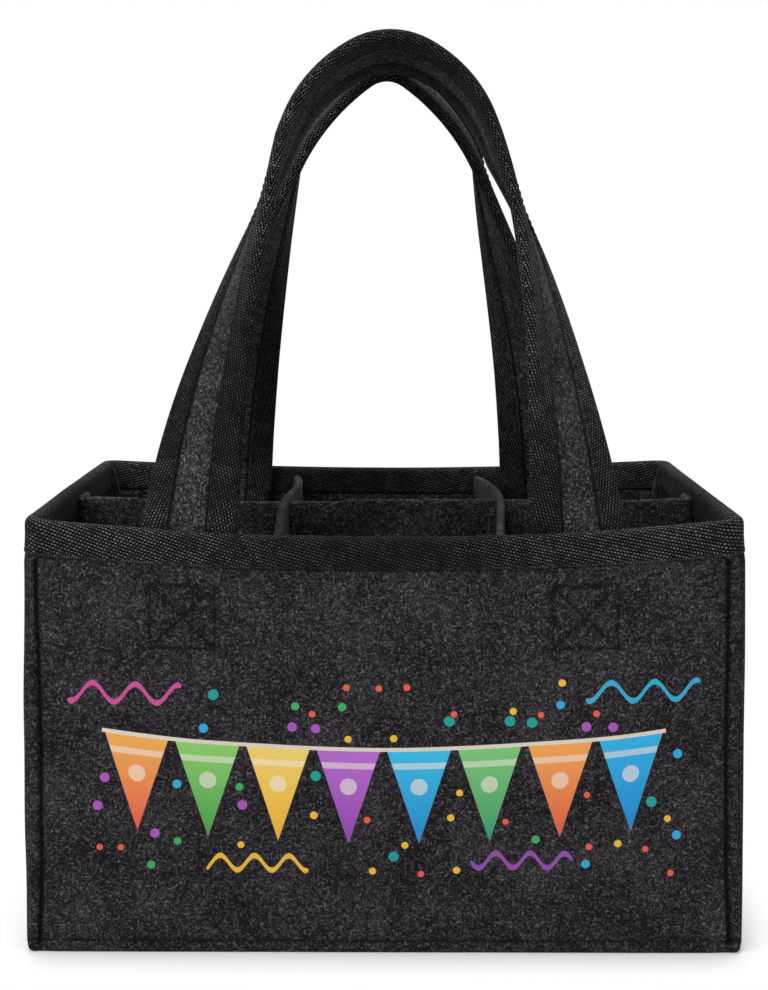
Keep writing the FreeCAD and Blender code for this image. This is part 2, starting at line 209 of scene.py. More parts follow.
# a festive row of pennants with confetti and streamers, drawn by rule
partyPrint = {
    "half": 98.0, "count": 8, "stringHigh": 80.0, "stringSag": 6.0, "stringHalf": 0.75, "drop": 34.0,
    "flagHalf": 0.46, "bandDown": 6.0, "bandHalf": 2.2, "bandShare": 0.45,
    "spotDown": 13.5, "spotHalf": 3.0, "spotShare": 0.5, "ribbonHalf": 1.1, "fill": 0.94, "feltThrough": 0.10,
    "dotPitch": 9.5, "dotStray": 0.85, "dotLeast": 0.12, "dotMore": 0.09, "dotChance": 0.42,
    "dotWide": 104, "dotLow": 29, "dotHigh": 98,
    "clearEnd": 3, "clearString": 3.4, "clearFlag": 3.2, "clearStreamer": 3.4,
    "lineEdge": (-0.1, 0.2), "flagEdge": (-0.15, 0.25), "bandEdge": (0.9, 1.3), "dotEdge": (-0.01, 0.03),
    "ribbonEdge": (-0.05, 0.3),
    "pale": (0.92, 0.86, 0.74, 1), "string": (0.72, 0.66, 0.56, 1),
    "upper": [(0.86, 0.42, 0.10), (0.28, 0.62, 0.16), (0.90, 0.66, 0.16), (0.48, 0.16, 0.62),
              (0.05, 0.52, 0.80), (0.22, 0.58, 0.20), (0.88, 0.40, 0.10), (0.04, 0.46, 0.82)],
    "lower": [(0.80, 0.10, 0.07), (0.05, 0.36, 0.08), (0.86, 0.44, 0.03), (0.30, 0.06, 0.44),
              (0.02, 0.26, 0.62), (0.03, 0.34, 0.16), (0.78, 0.10, 0.06), (0.02, 0.24, 0.60)],
    "dots": [(0.80, 0.12, 0.08), (0.86, 0.50, 0.06), (0.06, 0.40, 0.12), (0.04, 0.40, 0.70),
             (0.40, 0.10, 0.50), (0.02, 0.34, 0.30)],
    # left, right, level, swing, wave and colour
    "streamers": [
        (-110, -70, 93, 3.2, 15.0, (0.62, 0.08, 0.30)), (70, 110, 94, 3.2, 15.0, (0.04, 0.40, 0.62)),
        (-62, -26, 33, 2.6, 12.0, (0.86, 0.50, 0.05)), (30, 66, 34, 2.6, 12.0, (0.30, 0.08, 0.42))],
}


def pennantAt(x, z):  # number on the string, off the flag's middle, below the string, inside the slanted edge
    look = partyPrint
    wide = 2 * look["half"] / look["count"]
    cell = (x + look["half"]) / wide
    number = cell.math("FLOOR")
    off = (cell - number - 0.5).math("ABSOLUTE") * wide
    down = look["stringHigh"] - (1 - (x / look["half"]).math("POWER", 2)) * look["stringSag"] - z
    return number, off, down, (1 - down / look["drop"]) * (look["flagHalf"] * wide) - off


def confetti(start, x, z):  # one dot to a cell, left out whole where the cell's point lies on another figure
    look = partyPrint
    place = start.node("ShaderNodeCombineXYZ", None, {0: x / look["dotPitch"], 1: z / look["dotPitch"]})
    cells = start.node("ShaderNodeTexVoronoi", {"voronoi_dimensions": "2D"},
                       {"Vector": place, "Scale": 1.0, "Randomness": look["dotStray"]})
    chance, size = cells.other("Color").split("ShaderNodeSeparateColor")
    midX, midZ = (part * look["dotPitch"] for part in cells.other("Position").split())
    dots = (look["dotLeast"] + size * look["dotMore"] - cells.other("Distance")).step(*look["dotEdge"])
    off = midX.math("ABSOLUTE")
    keep = chance.above(look["dotChance"]) * (look["dotWide"] - off).above(0)
    keep = keep * midZ.above(look["dotLow"]) * (look["dotHigh"] - midZ).above(0)
    _, _, down, edge = pennantAt(midX, midZ)
    onString = (look["half"] + look["clearEnd"] - off).above(0) * down.above(-look["clearString"])
    keep = keep * (1 - onString * edge.above(-look["clearFlag"]))
    for left, right, level, swing, *_ in look["streamers"]:
        beside = (midX - (left + right) / 2).math("ABSOLUTE") - (right - left) / 2
        gap = beside.math("MAXIMUM", (midZ - level).math("ABSOLUTE") - swing)
        keep = keep * gap.above(look["clearStreamer"])
    return dots * keep, size.palette(look["dots"])


def partyInk(start, x, z, felt, height):
    look = partyPrint
    number, off, down, edge = pennantAt(x, z)
    inside = (look["half"] - x.math("ABSOLUTE")).step(*look["lineEdge"])
    pennant = edge.step(*look["flagEdge"]) * down.step(*look["lineEdge"]) * inside
    pick, share = (number + 0.5) / look["count"], (down / look["drop"]).clamped()
    flag = share.colours(pick.palette(look["upper"]), pick.palette(look["lower"]))
    band = (look["bandHalf"] - (down - look["bandDown"]).math("ABSOLUTE")).step(*look["bandEdge"])
    flag = (band * look["bandShare"]).colours(flag, look["pale"])
    away = (off * off + (down - look["spotDown"]).math("POWER", 2)).math("SQRT")
    spot = (look["spotHalf"] - away).step(*look["flagEdge"])
    flag = (spot * look["spotShare"]).colours(flag, look["pale"])
    dots, dotColour = confetti(start, x, z)
    ink, cover = pennant.colours(dotColour, flag), pennant.math("MAXIMUM", dots)
    line = (look["stringHalf"] - down.math("ABSOLUTE")).step(*look["lineEdge"]) * inside
    ink, cover = line.colours(ink, look["string"]), cover.math("MAXIMUM", line)
    for left, right, level, swing, wave, colour in look["streamers"]:
        bow = (x * (2 * math.pi / wave)).math("SINE") * swing + level
        room = ((right - left) / 2 - (x - (left + right) / 2).math("ABSOLUTE")).clamped().math("SQRT")
        ribbon = (room * look["ribbonHalf"] - (z - bow).math("ABSOLUTE")).step(*look["ribbonEdge"])
        ink, cover = ribbon.colours(ink, (*colour, 1)), cover.math("MAXIMUM", ribbon)
    cover = (cover * (look["fill"] - height * look["feltThrough"])).clamped()
    return cover.colours(felt, ink)


tapeLook = {
    "dark": (0.0024, 0.0022, 0.0022, 1), "light": (0.25, 0.234, 0.226, 1),
    "along": 1.26, "across": 1.16, "slant": 0.28, "step": 0.56, "floatLong": 0.45, "floatWide": 0.36,
    "selvedge": (1.05, 1.8), "ribPitch": 0.9, "ribTone": 0.6, "wear": (0.16, 2.0),
    "alongShadeEvery": 190.0, "alongShadeTurn": 1.67,
    # least and added brightness by yarn, by worn patch and by painted shade that swings along the tape,
    # darkest in the middle of the front rim
    "luckTone": (0.32, 0.68), "wearTone": (0.08, 0.74), "alongShadeTone": (0.46, 0.92),
    "bump": 0.6, "bumpDeep": 0.0003, "sockets": {"Roughness": 0.75, "Specular IOR Level": 0.04},
}


def finishTape(name):
    look = tapeLook
    material, start, shader = newMaterial(name, look)
    along, across = clothPlace(start)
    slanted = (across + along * look["slant"]) / look["across"]  # the rows of floats run aslant
    row = slanted.math("FLOOR")
    slide = (along - across * look["slant"]) / look["along"] + row * look["step"]
    ends = (slide.math("FRACT") - 0.5).math("ABSOLUTE") / look["floatLong"]
    sides = (slanted.math("FRACT") - 0.5).math("ABSOLUTE") / look["floatWide"]
    floats = (1 - ends.math("POWER", 2) - sides.math("POWER", 2)).clamped()
    cell = start.node("ShaderNodeCombineXYZ", None, {0: slide.math("FLOOR"), 1: row})
    luck = start.node("ShaderNodeTexWhiteNoise", {"noise_dimensions": "2D"}, {"Vector": cell})
    border = across.step(*look["selvedge"])
    yarn = floats * border + along.swing(look["ribPitch"]) * look["ribTone"] * (1 - border)
    wear = noiseAt(along, across, *look["wear"])
    # painted shade: a slow swing along the tape's length, darkest in the middle of the front rim
    alongShade = along.swing(look["alongShadeEvery"], look["alongShadeTurn"])
    light = yarn
    for value, word in ((luck, "luckTone"), (wear, "wearTone"), (alongShade, "alongShadeTone")):
        least, more = look[word]
        light = light * (least + value * more)
    finishCloth(start, shader, look, light.clamped().colours(look["dark"], look["light"]), yarn)
    return material


threadLook = {
    "dark": (0.004, 0.0037, 0.004, 1), "light": (0.014, 0.013, 0.0135, 1),
    "ply": 2600.0, "plyStep": (0.35, 0.65), "bump": 0.4, "bumpDeep": 0.0001,
    "sockets": {"Roughness": 0.8, "Specular IOR Level": 0.08},
}


def finishThread(name):
    look = threadLook
    material, start, shader = newMaterial(name, look)
    place = start.node("ShaderNodeTexCoord").other("Object")
    ply = start.node("ShaderNodeTexNoise", None, {"Vector": place, "Scale": look["ply"], "Detail": 1.0})
    finishCloth(start, shader, look, ply.step(*look["plyStep"]).colours(look["dark"], look["light"]), ply)
    return material


felt = finishFelt("charcoalFelt")
printedFelt = finishFelt("printedCharcoalFelt", partyInk)
strapFelt = finishFelt("strapFelt", gain=1.22)
tape = finishTape("blackTwillTape")
thread = finishThread("blackThread")
print("materials ready")

bag = {
    "halfWide": 125.0, "halfDeep": 83.0, "rim": 150.0, "feltTop": 149.0, "felt": 3.0, "loose": 80.0,
    "cornerLift": 3.0, "cornerLiftTilt": -1.4, "frontDip": 7.0, "backDip": 3.6, "middleDip": 0.3,
    "bowTop": 1.02, "bowPower": 0.8, "wallBulge": 2.4, "wallWave": 0.5, "sideBulge": 1.6, "baseSpread": 0.8,
    "rimDraw": -0.1, "ripple": 0.55, "fineRipple": 0.45, "wallRipple": 1.3, "rimRipple": 0.35,
    # squeeze, size and start of the broad and the fine wave
    "waves": [((1, 0.8, 1), 42.0, (3.1, 7.7, 1.3)), ((1, 1, 0.7), 23.0, (9.4, 2.2, 5.8))],
}
halfFelt = bag["felt"] / 2


def smooth(t):
    t = min(max(t, 0.0), 1.0)
    return t * t * (3 - 2 * t)


def sagged(p):  # the whole bag settles by one rule, so sewn pieces stay together
    x, y, z = p
    across, deep = x / bag["halfWide"], y / bag["halfDeep"]
    up = min(max(z / bag["rim"], 0.0), 1.0)
    hold = 1.0 - smooth((z - bag["rim"]) / bag["loose"])
    bow = math.sin(math.pi * min(up * bag["bowTop"], 1.0)) ** bag["bowPower"] if up > 0 else 0.0
    wide = max(0.0, 1 - across * across)
    lean = min(max(deep, -1.0), 1.0)
    dip = (bag["frontDip"] if deep < 0 else bag["backDip"]) * wide
    dip *= bag["middleDip"] + (1 - bag["middleDip"]) * lean * lean
    rise = bag["cornerLift"] + bag["cornerLiftTilt"] * lean - dip
    wall = bag["wallBulge"] * (1 - across ** 4 if abs(across) < 1 else 0.0) * bow
    wall += bag["wallWave"] * math.cos(across * 3 * math.pi) * bow * wide
    side = bag["sideBulge"] * max(0.0, 1 - deep ** 4) * bow
    broad, fine = (noise.noise(Vector((x * a, y * b, z * c)) / size + Vector(start))
                   for (a, b, c), size, start in bag["waves"])
    push = (broad + bag["fineRipple"] * fine) * bag["ripple"] * bow
    dx = across ** 3 * (side + push)
    dx += across * (bag["baseSpread"] * (1 - up) ** 2 - bag["rimDraw"] * up ** 3)
    dy = lean * abs(lean) * (wall + push * bag["wallRipple"])
    dz = (rise + bag["rimRipple"] * broad) * up ** 3
    return Vector((x + dx * hold, y + dy * hold, z + dz * hold))


cutEdge = {"radius": 1.1, "lines": (0.0, 0.18, 0.55), "arc": 1.3, "closest": 0.12}


def spread(start, end, gap, extra=()):  # lines across a sheet, closer at its rounded cut edges
    first, last = start + cutEdge["radius"], end - cutEdge["radius"]
    count = max(1, round((last - first) / gap))
    row = [first + (last - first) * i / count for i in range(count + 1)]
    row += [start + e for e in cutEdge["lines"]] + [end - e for e in cutEdge["lines"]]
    row += [e for e in extra if first < e < last]
    ready = []
    for value in sorted(row):
        if not ready or value - ready[-1] > cutEdge["closest"]:
            ready.append(value)
    return ready


def edgeRound(distance):
    near = min(distance / cutEdge["radius"], 1.0)
    return math.sqrt(max(0.0, 1 - (1 - near) ** 2))


def clothAt(value, first, last):  # follows the round of a cut edge, so that its grain isn't drawn out
    radius, near = cutEdge["radius"], min(value - first, last - value)
    if near >= radius:
        return value
    extra = radius - near - cutEdge["arc"] * (math.pi / 2 - math.acos(max(0.0, 1 - near / radius)))
    return value + extra if value - first == near else value - extra


def newPiece(name, points, faces, cloth, material, crease=None, lining=None):
    mesh = bpy.data.meshes.new(name)
    mesh.from_pydata([Vector(p) * mm for p in points], [], faces)
    layer = mesh.uv_layers.new(name="cloth")
    for loop in mesh.loops:
        layer.data[loop.index].uv = cloth[loop.vertex_index]
    # painted crease shade for each point, read by the felt
    values = mesh.attributes.new("crease", "FLOAT", "POINT")
    if crease is not None:
        values.data.foreach_set("value", crease)
    mesh.materials.append(material)
    if lining is not None:  # faces lie outside and inside in turn
        mesh.materials.append(lining)
        mesh.polygons.foreach_set("material_index", [k % 2 for k in range(len(faces))])
    mesh.validate()
    mesh.shade_smooth()
    return placed(name, mesh)


# a felt sheet with rounded cut edges
# place gives the middle surface, and skin gives the half thickness of each face and the painted crease shade
# shift moves the grain, so that no two sheets show the same
def feltSheet(name, us, vs, place, skin, material, shift=(0.0, 0.0), lining=None):
    middle = [[place(u, v) for v in vs] for u in us]
    n, m = len(us), len(vs)
    points, cloth, crease, front, back = [], [], [], {}, {}
    for i, u in enumerate(us):
        for j, v in enumerate(vs):
            alongU = middle[min(i + 1, n - 1)][j] - middle[max(i - 1, 0)][j]
            alongV = middle[i][min(j + 1, m - 1)] - middle[i][max(j - 1, 0)]
            normal = alongU.cross(alongV).normalized()
            # the third value is painted shade in creases and grooves
            outer, inner, fold = skin(u, v)
            full = edgeRound(min(u - us[0], us[-1] - u)) * edgeRound(min(v - vs[0], vs[-1] - v))
            flatU, flatV = clothAt(u, us[0], us[-1]) + shift[0], clothAt(v, vs[0], vs[-1]) + shift[1]
            layers = [(front, outer)]
            if 0 < i < n - 1 and 0 < j < m - 1:
                layers.append((back, -inner))
            else:  # both faces share the points of the edge
                back[i, j] = len(points)
            for layer, reach in layers:
                layer[i, j] = len(points)
                points.append(middle[i][j] + normal * reach * full)
                cloth.append((flatU * mm, flatV * mm))
                crease.append(fold)
    faces = []
    corners = {(0, 0): 0, (n - 2, 0): 1, (n - 2, m - 2): 2, (0, m - 2): 3}
    for i in range(n - 1):
        for j in range(m - 1):
            ring = [(i, j), (i + 1, j), (i + 1, j + 1), (i, j + 1)]
            cells = [ring]
            if (i, j) in corners:  # cut through the corner, so that the two faces share no triangle
                c = corners[i, j]
                cells = [[ring[c], ring[c - 3], ring[c - 2]], [ring[c], ring[c - 2], ring[c - 1]]]
            for cell in cells:
                faces.append([front[k] for k in cell])
                faces.append([back[k] for k in reversed(cell)])
    return newPiece(name, points, faces, cloth, material, crease, lining)


def plainSkin(u, v):
    return halfFelt, halfFelt, 0.0


# a tape: one closed section carried along stations of (centre, across, out)
def tapeRun(name, stations, section, settle, looped=False):
    points, cloth, faces = [], [], []
    lengths = [0.0]
    for p, q in zip(section, section[1:]):
        lengths.append(lengths[-1] + math.dist(p, q))
    far, run, count, total = lengths[-1], 0.0, len(section), len(stations)
    for k, (centre, across, out) in enumerate(stations):
        run += (centre - stations[k - 1][0]).length if k else 0.0
        for (w, t), span in zip(section, lengths):
            points.append(settle(centre + across * w + out * t))
            cloth.append((run * mm, min(span, far - span) * mm))
    for k in range(total if looped else total - 1):
        here, there = k * count, (k + 1) % total * count
        for i in range(count):
            j = (i + 1) % count
            faces.append((here + i, here + j, there + j, there + i))
    if not looped:
        faces.append(list(range(count))[::-1])
        faces.append([(total - 1) * count + i for i in range(count)])
    piece = newPiece(name, points, faces, cloth, tape)
    turnOutward(piece)
    return piece


def turnOutward(piece, weld=1e-7):
    shape = bmesh.new()
    shape.from_mesh(piece.data)
    bmesh.ops.remove_doubles(shape, verts=shape.verts, dist=weld)
    bmesh.ops.recalc_face_normals(shape, faces=shape.faces)
    shape.to_mesh(piece.data)
    shape.free()


def joined(first, others):
    with bpy.context.temp_override(active_object=first, selected_editable_objects=[first, *others]):
        bpy.ops.object.join()
    return first


def softLine(points, rounds=3):  # cuts the corners of a line until it is smooth
    for _ in range(rounds):
        cut = [points[0]]
        for a, b in zip(points, points[1:]):
            cut += [a.lerp(b, 0.25), a.lerp(b, 0.75)]
        points = cut + [points[-1]]
    return points


def evenLine(points, tiny=1e-9):  # the point at a length along a line, and its whole length
    reach = [0.0]
    for a, b in zip(points, points[1:]):
        reach.append(reach[-1] + (b - a).length)

    def at(s):
        s = min(max(s, 0.0), reach[-1])
        k = next(i for i in range(1, len(reach)) if reach[i] >= s - tiny)
        share = (s - reach[k - 1]) / max(reach[k] - reach[k - 1], tiny)
        return points[k - 1].lerp(points[k], share)
    return at, reach[-1]


def mirrored(half, x, y):  # a line that ends on the middle, and its other half
    return half + [Vector((x * p.x, y * p.y, p.z)) for p in reversed(half[:-1])]


def hollow(distance, width):
    return math.exp(-((distance / width) ** 2))


def segmentGap(x, z, a, b):
    ax, az, bx, bz = *a, *b
    t = ((x - ax) * (bx - ax) + (z - az) * (bz - az)) / ((bx - ax) ** 2 + (bz - az) ** 2)
    t = min(max(t, 0.0), 1.0)
    return math.hypot(x - ax - t * (bx - ax), z - az - t * (bz - az))


wallPanel = {
    "half": 123.6, "corner": 2.6, "grid": 1.7, "flatTo": 100, "footFlare": 1.3, "flareHigh": 40,
    "neck": 118.6, "neckLow": 136.6, "neckSpan": 2.4,
    "neckLines": [135.8, 136.6, 137.2, 137.8, 138.4, 139.0, 140],
    "seam": 119.4, "seamTop": 139, "seamDeep": 1.1, "seamWide": 0.85, "seamShade": 1.15,
    "seamLines": [-1.5, -1.0, -0.6, -0.25, 0, 0.25, 0.6, 1.0, 1.5],
    "seamDimple": 0.4, "dimpleWide": 4.0, "dimpleSpan": 8, "stripPuff": 0.35, "puffSpan": 2.0,
    "seamLean": 1.7, "leanFrom": 104, "leanLow": 60, "leanSpan": 70,
    "baseSeam": 4.5, "baseSeamDeep": 0.7, "baseSeamWide": 0.75, "baseSeamShade": 0.95, "baseSeamShadePower": 1.5,
    "baseSeamWander": 0.5, "baseSeamLines": [-1.2, -0.6, 0, 0.6, 1.2],
    "pullLeast": 0.25, "pullMean": 0.6, "pullSwing": 0.9,
    "pullNoise": (0.10, 4.0, 2.0), "wanderNoise": (0.04, 1.0, 6.0), "boxNoise": 0.21, "boxLayer": 8.0,
    "boxX": 69.9, "boxHalf": 11.2, "boxLow": 109.2, "boxHigh": 131.0, "boxWide": 0.8, "boxMargin": 4.8,
    "boxDeep": 0.45, "boxShade": 0.82, "boxPullMean": 0.7, "boxPullSwing": 0.6, "boxParts": 13,
}


def boxLines():  # a crossed box where a strap end is sewn
    left, right = wallPanel["boxX"] - wallPanel["boxHalf"], wallPanel["boxX"] + wallPanel["boxHalf"]
    low, high = wallPanel["boxLow"], wallPanel["boxHigh"]
    return [((left, low), (right, low)), ((right, low), (right, high)), ((right, high), (left, high)),
            ((left, high), (left, low)), ((left, low), (right, high)), ((left, high), (right, low))]


def uneven(x, scale, y, z):
    return noise.noise(Vector((x * scale, y, z)))


def wallSkin(x, z):
    w = wallPanel
    seamGap, boxGap, margin = abs(abs(x) - w["seam"]), abs(abs(x) - w["boxX"]), w["boxMargin"]
    seam = hollow(seamGap, w["seamWide"]) * smooth(z / w["baseSeam"]) if z < w["seamTop"] else 0.0
    pull = w["pullMean"] + w["pullSwing"] * uneven(x, *w["pullNoise"])  # the thread draws unevenly
    wander = w["baseSeamWander"] * uneven(x, *w["wanderNoise"])
    foot = hollow(z - w["baseSeam"] + wander, w["baseSeamWide"]) * min(max(pull, w["pullLeast"]), 1.0)
    box = 0.0
    if boxGap < w["boxHalf"] + margin and w["boxLow"] - margin < z < w["boxHigh"] + margin:
        gap = min(segmentGap(abs(x), z, a, b) for a, b in boxLines())
        pull = w["boxPullSwing"] * uneven(x, w["boxNoise"], z * w["boxNoise"], w["boxLayer"])
        box = hollow(gap, w["boxWide"]) * (w["boxPullMean"] + pull)
    puff = w["stripPuff"] * smooth((abs(x) - w["seam"]) / w["puffSpan"])
    dimple = w["seamDimple"] * hollow(seamGap, w["dimpleWide"]) * smooth((w["seamTop"] - z) / w["dimpleSpan"])
    outer = halfFelt + puff - dimple - w["seamDeep"] * seam - w["baseSeamDeep"] * foot - w["boxDeep"] * box
    # painted shade in the side seams' grooves, along the bottom seam and along the sewn box lines
    dark = w["seamShade"] * seam + w["baseSeamShade"] * foot ** w["baseSeamShadePower"] + w["boxShade"] * box
    return outer, halfFelt, min(1.0, dark)


def wallPoint(x, z, sign, lift=0.0):  # sign is -1 in front and 1 at the back
    w = wallPanel
    half, seam, corner, flat, leanFrom = (w[k] for k in ("half", "seam", "corner", "flatTo", "leanFrom"))
    overX, overZ = (abs(x) - half) / corner + 1, 1 - z / corner
    if overX > 0 and overZ > 0:  # the cut sheet has round lower corners
        x = math.copysign(half + corner * (overX * math.sqrt(1 - overZ * overZ / 2) - 1), x)
        z = corner * (1 - overZ * math.sqrt(1 - overX * overX / 2))
    reach = half + (w["neck"] - half) * smooth((z - w["neckLow"]) / w["neckSpan"])
    reach += w["footFlare"] * (1 - smooth(z / w["flareHigh"]))
    wide = x
    if abs(x) > flat:
        wide = math.copysign(flat + (abs(x) - flat) * (reach - flat) / (half - flat), x)
    if x < -leanFrom:  # the left seams lean out towards the rim
        near = smooth((-x - leanFrom) / (seam - leanFrom))
        if -x >= seam:
            near = 1 - smooth((-x - seam) / (half - seam))
        wide -= w["seamLean"] * near * smooth((z - w["leanLow"]) / w["leanSpan"]) ** 2
    return sagged((wide, sign * (bag["halfDeep"] - halfFelt + lift), z))


def makeWall(name, sign, material, shift, lining=None):
    w, parts = wallPanel, wallPanel["boxParts"]
    # closer lines over the sewn boxes
    fine = [w["boxHalf"] * k / parts for k in range(-parts - 1, parts + 2)]
    lines = [s * w["seam"] + e for s in (-1, 1) for e in w["seamLines"]]
    lines += [s * w["boxX"] + e for s in (-1, 1) for e in fine]
    seams = [w["baseSeam"] + e for e in w["baseSeamLines"]] + w["neckLines"]
    seams += [(w["boxLow"] + w["boxHigh"]) / 2 + e for e in fine]
    us = spread(-w["half"], w["half"], w["grid"], lines)
    vs = spread(0.0, bag["feltTop"], w["grid"], seams)
    turn = -sign  # keeps the outer face outward on both walls
    return feltSheet(name, us, vs, lambda u, v: wallPoint(turn * u, v, sign),
                     lambda u, v: wallSkin(turn * u, v), material, shift, lining)


frontPanel = makeWall("frontPanel", -1, printedFelt, shift=(0.0, 0.0), lining=felt)  # printed outside alone
backPanel = makeWall("backPanel", 1, felt, shift=(410.0, 35.0))

sideWall = {
    "plan": [(112.0, -78.3), (117.5, -78.3), (122.5, -78.2), (125.2, -76.6), (125.1, -69.0), (124.0, -60.0),
             (123.6, -40.0), (123.5, 0.0)],
    "middle": 123.5, "grid": 2.2, "tuckHigh": 136.0, "tuckSpan": 4.5, "tuckIn": 0.012,
    "turnedLow": 12.0, "turnedX": 120.5, "turnedSpan": 3, "slopeLow": 100, "slopeSpan": 49,
    "seamShade": 0.35, "seamWide": 0.8,
}


def sideSkin(u, v):
    # painted shade along the bottom seam's groove
    return halfFelt, halfFelt, sideWall["seamShade"] * hollow(v - wallPanel["baseSeam"], sideWall["seamWide"])


def makeSide(name, sign, shift):
    s = sideWall
    whole = mirrored([Vector((x, y, 0)) for x, y in s["plan"]], 1, -1)
    if sign < 0:  # runs from back to front on the left
        whole = [Vector((-p.x, p.y, 0)) for p in reversed(whole)]
    at, long = evenLine(softLine(whole))

    def place(u, v):
        spot = at(u)
        tuck = smooth((v - s["tuckHigh"]) / s["tuckSpan"])
        x = abs(spot.x)
        lower = s["turnedLow"] * smooth((s["turnedX"] - x) / s["turnedSpan"])
        lower *= smooth((v - s["slopeLow"]) / s["slopeSpan"])
        if x > s["middle"]:
            x = s["middle"] + (x - s["middle"]) * (1 - tuck)
        return sagged((math.copysign(x, spot.x), spot.y * (1 - s["tuckIn"] * tuck), v - lower))
    us, vs = spread(0.0, long, s["grid"]), spread(0.0, bag["feltTop"], s["grid"])
    return feltSheet(name, us, vs, place, sideSkin, felt, shift)


leftSide = makeSide("leftSidePanel", -1, shift=(20.0, 260.0))
rightSide = makeSide("rightSidePanel", 1, shift=(250.0, 300.0))

baseSheet = {
    "halfLong": 121.6, "halfDeep": 79.6, "turnUp": 12.0, "bend": 3.0, "bendLines": [14, 16, 18, 20],
    "grid": 3.0, "sideGap": 1.8,
    "cornerReach": 1.9, "cornerY": 48, "cornerDeep": 20, "cornerX": 100, "cornerLong": 18,
    "flapGrid": (5.0, 1.5), "flapGap": 1.4, "flapBend": 4.5, "flapLow": 1.6, "flapFoot": 4.4,
}


def makeBase():
    b = baseSheet
    long, deep, up, bend = (b[k] for k in ("halfLong", "halfDeep", "turnUp", "bend"))
    end = -long + halfFelt
    corner = [(end, up), (end, halfFelt + bend), (end, halfFelt), (end + bend, halfFelt), (0, halfFelt)]
    at, reach = evenLine(softLine(mirrored([Vector((x, 0, z)) for x, z in corner], -1, 1)))

    def floorPlace(u, v):  # wider by the ends, where the side panels roll out
        spot = at(u)
        wider = b["cornerReach"] * smooth((abs(v) - b["cornerY"]) / b["cornerDeep"])
        wider *= smooth((abs(spot.x) - b["cornerX"]) / b["cornerLong"])
        return sagged((spot.x + math.copysign(wider, spot.x), v, spot.z))

    def makeFlap(sign):
        wall, foot = sign * (deep - halfFelt), sign * (deep - b["flapFoot"])
        turned = [(wall, up), (wall, b["flapBend"]), (wall, b["flapLow"]), (foot, b["flapLow"])]
        flapAt, flapReach = evenLine(softLine([Vector((0, y, z)) for y, z in turned]))
        us = spread(-long + b["flapGap"], long - b["flapGap"], b["flapGrid"][0])
        vs = spread(0.0, flapReach, b["flapGrid"][1])
        return feltSheet("baseFlap", us, vs, lambda u, v: sagged((sign * -u, flapAt(v).y, flapAt(v).z)),
                         plainSkin, felt, shift=(300, 520))
    us = spread(0.0, reach, b["grid"], b["bendLines"] + [reach - e for e in b["bendLines"]])
    vs = spread(-deep + b["sideGap"], deep - b["sideGap"], b["grid"])
    floorSheet = feltSheet("basePanel", us, vs, floorPlace, plainSkin, felt, shift=(30, 480))
    return joined(floorSheet, [makeFlap(-1), makeFlap(1)])


base = makeBase()

dividers = {
    "low": 3.2, "high": 146.0, "grid": 2.6, "bend": 1.6,
    "plan": [(-120.3, 14.0), (-120.3, 3.5), (-120.3, 0.0), (-116.5, 0), (-80, 0), (0, 0)],
    "bendLines": [13, 14.5, 16], "longDrop": 0.5, "longWave": 26.0, "longTurn": 0.6,
    "waveLow": 20, "waveSpan": 110, "waveEnd": 110, "waveFade": 20,
    "crossX": 41.17, "crossHalf": 79.6, "crossWave": 24.0,
    "lean": 3.2, "leanHalf": 82, "leanLow": 15, "leanSpan": 135,
}


def makeLongDivider():
    d = dividers
    at, reach = evenLine(softLine(mirrored([Vector((x, y, 0)) for x, y in d["plan"]], -1, 1)))

    def place(u, v):
        spot = at(u)
        wave = d["bend"] * math.sin(spot.x / d["longWave"] + d["longTurn"])
        wave *= smooth((v - d["waveLow"]) / d["waveSpan"])
        wave *= smooth((d["waveEnd"] - abs(spot.x)) / d["waveFade"])
        return sagged((spot.x, spot.y + wave, v))
    us = spread(0.0, reach, d["grid"], d["bendLines"] + [reach - e for e in d["bendLines"]])
    vs = spread(d["low"], d["high"] - d["longDrop"], d["grid"])
    return feltSheet("longDivider", us, vs, place, plainSkin, felt, shift=(60, 700))


def makeCrossDivider(name, sign, shift):
    d = dividers

    def place(u, v):
        rise = smooth((v - d["leanLow"]) / d["leanSpan"])
        lean = d["lean"] * rise * (1 - (u / d["leanHalf"]) ** 4)
        bend = d["bend"] * math.sin(u / d["crossWave"] + sign) * rise
        return sagged((sign * d["crossX"] + lean + bend, u, v))
    us, vs = spread(-d["crossHalf"], d["crossHalf"], d["grid"]), spread(d["low"], d["high"], d["grid"])
    return feltSheet(name, us, vs, place, plainSkin, felt, shift)


longDivider = makeLongDivider()
leftDivider = makeCrossDivider("leftCrossDivider", -1, shift=(420, 240))
rightDivider = makeCrossDivider("rightCrossDivider", 1, shift=(600, 330))
print("bag walls, base and dividers ready")

rimTape = {
    "lineX": 123.5, "lineY": 81.5, "corner": 6.0, "cornerParts": 6, "bottom": 138.2, "crest": 147.6,
    "half": 2.4, "profile": [(-0.75, 0.1), (-0.2, 0.0), (0.02, 0.5), (0.05, 2.4), (-0.02, 5.5)],
    "crownDrop": 0.4, "crownTurn": 18, "gap": 2.2, "lap": 16.0, "lapX": 67.0, "lapThick": 0.4,
    "flare": 0.4, "flareX": (112, 8), "flareY": (55, 15), "flareZ": (142, 3.8),  # from, and over how far
}


def rimPlace(p):  # the outer edge of the tape lies over the rolled corners
    (x, spanX), (y, spanY), (z, spanZ) = (rimTape[k] for k in ("flareX", "flareY", "flareZ"))
    near = smooth((abs(p.x) - x) / spanX) * smooth((abs(p.y) - y) / spanY) * smooth((z - p.z) / spanZ)
    if abs(p.x) > rimTape["lineX"]:
        p = Vector((p.x + math.copysign(rimTape["flare"] * near, p.x), p.y, p.z))
    return sagged(p)


